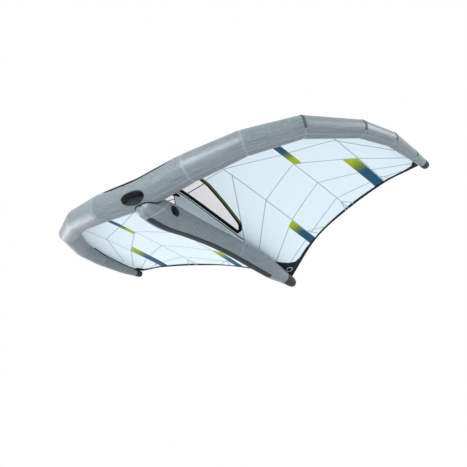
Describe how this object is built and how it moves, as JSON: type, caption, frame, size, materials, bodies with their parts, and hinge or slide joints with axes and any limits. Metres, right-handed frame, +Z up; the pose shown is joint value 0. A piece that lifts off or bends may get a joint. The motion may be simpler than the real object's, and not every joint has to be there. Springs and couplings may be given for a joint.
{
  "type": "wingfoil wing",
  "caption": "Inflatable hand-held sail: a swept tube leading edge and a centre strut carry a cambered cloth canopy with clear windows.",
  "frame": {"origin": "on the middle plane, at the centre of the bounding box in plan, at the level of the strut's lowest point", "axes": "+X to the wing's right tip, +Y aft from the leading edge to the trailing edge, +Z up, from the strut to the canopy"},
  "size_m": [3.117, 2.0818, 0.5135],
  "materials": {
    "woven_polyester_grey": "woven polyester cloth, grey",
    "bladder_film": "clear air bladder film",
    "canopy_ripstop": "coated ripstop canopy cloth, pale blue-white",
    "web_ripstop": "coated ripstop cloth, grey-blue",
    "window_film": "clear window film",
    "black_binding": "black webbing and binding tape",
    "dark_patch": "dark heavy reinforcement cloth",
    "moulded_rubber": "moulded rubber, dark grey",
    "valve_plastic": "moulded plastic, black",
    "spring_steel": "stainless steel",
    "eyelet_metal": "pressed metal eyelet",
    "hose_silicone": "silicone hose, dark grey"
  },
  "bodies": {
    "wing": {"bladder_hose": "hose_silicone", "canopy_left": "canopy_ripstop", "canopy_right": "canopy_ripstop", "clew_eyelet_left": "eyelet_metal", "clew_eyelet_right": "eyelet_metal", "clew_patch_left": "dark_patch", "clew_patch_right": "dark_patch", "handle_anchor_left": "black_binding", "handle_anchor_right": "black_binding", "handle_grip": "black_binding", "handle_patch": "dark_patch", "keel_strip": "dark_patch", "le_bladder": "bladder_film", "le_centre_patch": "dark_patch", "le_panel_2_left": "woven_polyester_grey", "le_panel_2_right": "woven_polyester_grey", "le_panel_3_left": "woven_polyester_grey", "le_panel_3_right": "woven_polyester_grey", "le_panel_4_left": "woven_polyester_grey", "le_panel_4_right": "woven_polyester_grey", "le_panel_5_left": "woven_polyester_grey", "le_panel_5_right": "woven_polyester_grey", "le_panel_6_left": "woven_polyester_grey", "le_panel_6_right": "woven_polyester_grey", "le_panel_7_left": "woven_polyester_grey", "le_panel_7_right": "woven_polyester_grey", "le_panel_centre": "woven_polyester_grey", "le_tip_cap_left": "moulded_rubber", "le_tip_cap_right": "moulded_rubber", "nose_piping": "black_binding", "scuff_strip_3_left": "dark_patch", "scuff_strip_3_right": "dark_patch", "scuff_strip_4_left": "dark_patch", "scuff_strip_4_right": "dark_patch", "scuff_strip_5_left": "dark_patch", "scuff_strip_5_right": "dark_patch", "scuff_strip_6_left": "dark_patch", "scuff_strip_6_right": "dark_patch", "strut_bladder": "bladder_film", "strut_panel_middle": "woven_polyester_grey", "strut_panel_nose": "woven_polyester_grey", "strut_panel_tail": "woven_polyester_grey", "strut_tail_cap": "moulded_rubber", "strut_web": "web_ripstop", "te_hem_left": "dark_patch", "te_hem_right": "dark_patch", "tip_patch_left": "dark_patch", "tip_patch_right": "dark_patch", "valve_body": "valve_plastic", "valve_flange": "valve_plastic", "valve_hinge_pin": "spring_steel", "valve_spring": "spring_steel", "web_binding": "black_binding", "window_frame_left": "black_binding", "window_frame_right": "black_binding", "window_left": "window_film", "window_right": "window_film"},
    "valve_cap": {"valve_cap": "valve_plastic"},
    "valve_stem": {"valve_stem": "valve_plastic"}
  },
  "joints": [
    {"name": "cap_hinge", "type": "hinge", "parent": "wing", "child": "valve_cap", "pos_m": [0.1121, -0.66451, 0.09452], "axis": [0, 0.6428, 0.766], "range_deg": [0, 150]},
    {"name": "stem_slide", "type": "slide", "parent": "wing", "child": "valve_stem", "axis": [-1, 0, 0], "range_m": [0, 0.003], "stiffness_N_per_m": 500, "springref_m": -0.002, "deforming": ["valve_spring"]}
  ]
}
